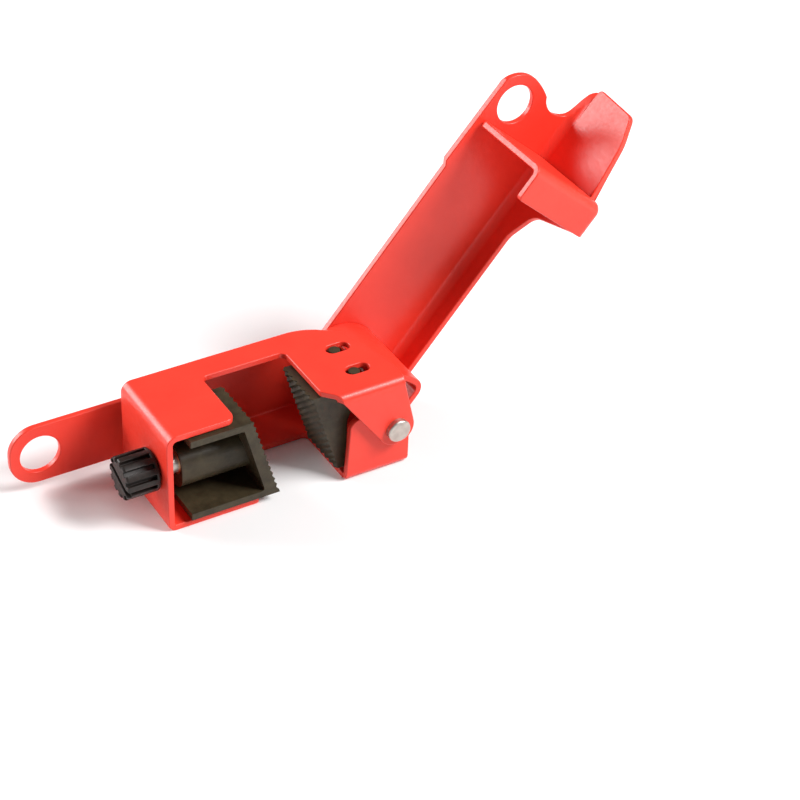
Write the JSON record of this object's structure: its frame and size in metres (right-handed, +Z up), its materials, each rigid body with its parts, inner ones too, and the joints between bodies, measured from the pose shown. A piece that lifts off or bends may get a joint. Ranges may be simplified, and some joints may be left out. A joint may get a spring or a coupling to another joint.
{
  "type": "clamp-on breaker lockout",
  "caption": "Folded sheet-metal lockout that clamps a breaker toggle between toothed jaws, with a thumbscrew, a swinging cam lever and padlock tabs.",
  "frame": {"origin": "on the underside of the body, below the hinge rivet's axis and halfway through the body's depth", "axes": "+X from the padlock tab towards the hinge, +Y towards the back plate, +Z up; the hinge axis is along Y and the open lever points up and to +X"},
  "size_m": [0.1483, 0.0352, 0.0761],
  "materials": {
    "red_coat": "satin",
    "plated_steel": "satin",
    "dark_polymer": "matte",
    "knob_polymer": "matte",
    "brass_insert": "satin"
  },
  "bodies": {
    "body": {"body_frame": "red_coat", "hinge_rivet": "plated_steel", "pivot_tube": "plated_steel", "friction_washer": "plated_steel"},
    "lever": {"clamp_lever": "red_coat", "cam_strap": "red_coat"},
    "cam_jaw_block": {"cam_jaw": "dark_polymer"},
    "screw": {"screw_stud": "plated_steel", "thumb_knob": "knob_polymer", "retaining_ring": "plated_steel"},
    "screw_jaw": {"sliding_jaw": "dark_polymer", "thread_insert": "brass_insert"}
  },
  "joints": [
    {"name": "lever_hinge", "type": "hinge", "parent": "body", "child": "lever", "pos_m": [0, 0, 0.0121], "axis": [0, -1, 0], "range_deg": [0, 130.4]},
    {"name": "cam_jaw_slide", "type": "slide", "parent": "body", "child": "cam_jaw_block", "axis": [-1, 0, 0], "range_m": [0, 0.0008]},
    {"name": "screw_turn", "type": "hinge", "parent": "body", "child": "screw", "pos_m": [-0.058, -0.0048, 0.013], "axis": [1, 0, 0], "range_deg": [-902, 4502]},
    {"name": "sliding_jaw_slide", "type": "slide", "parent": "body", "child": "screw_jaw", "axis": [1, 0, 0], "range_m": [-0.002, 0.01]}
  ],
  "couplings": [
    {"joint": "cam_jaw_slide", "follows": "lever_hinge", "m_per_rad": 0.0003514},
    {"joint": "screw_turn", "follows": "sliding_jaw_slide", "rad_per_m": 7854}
  ]
}
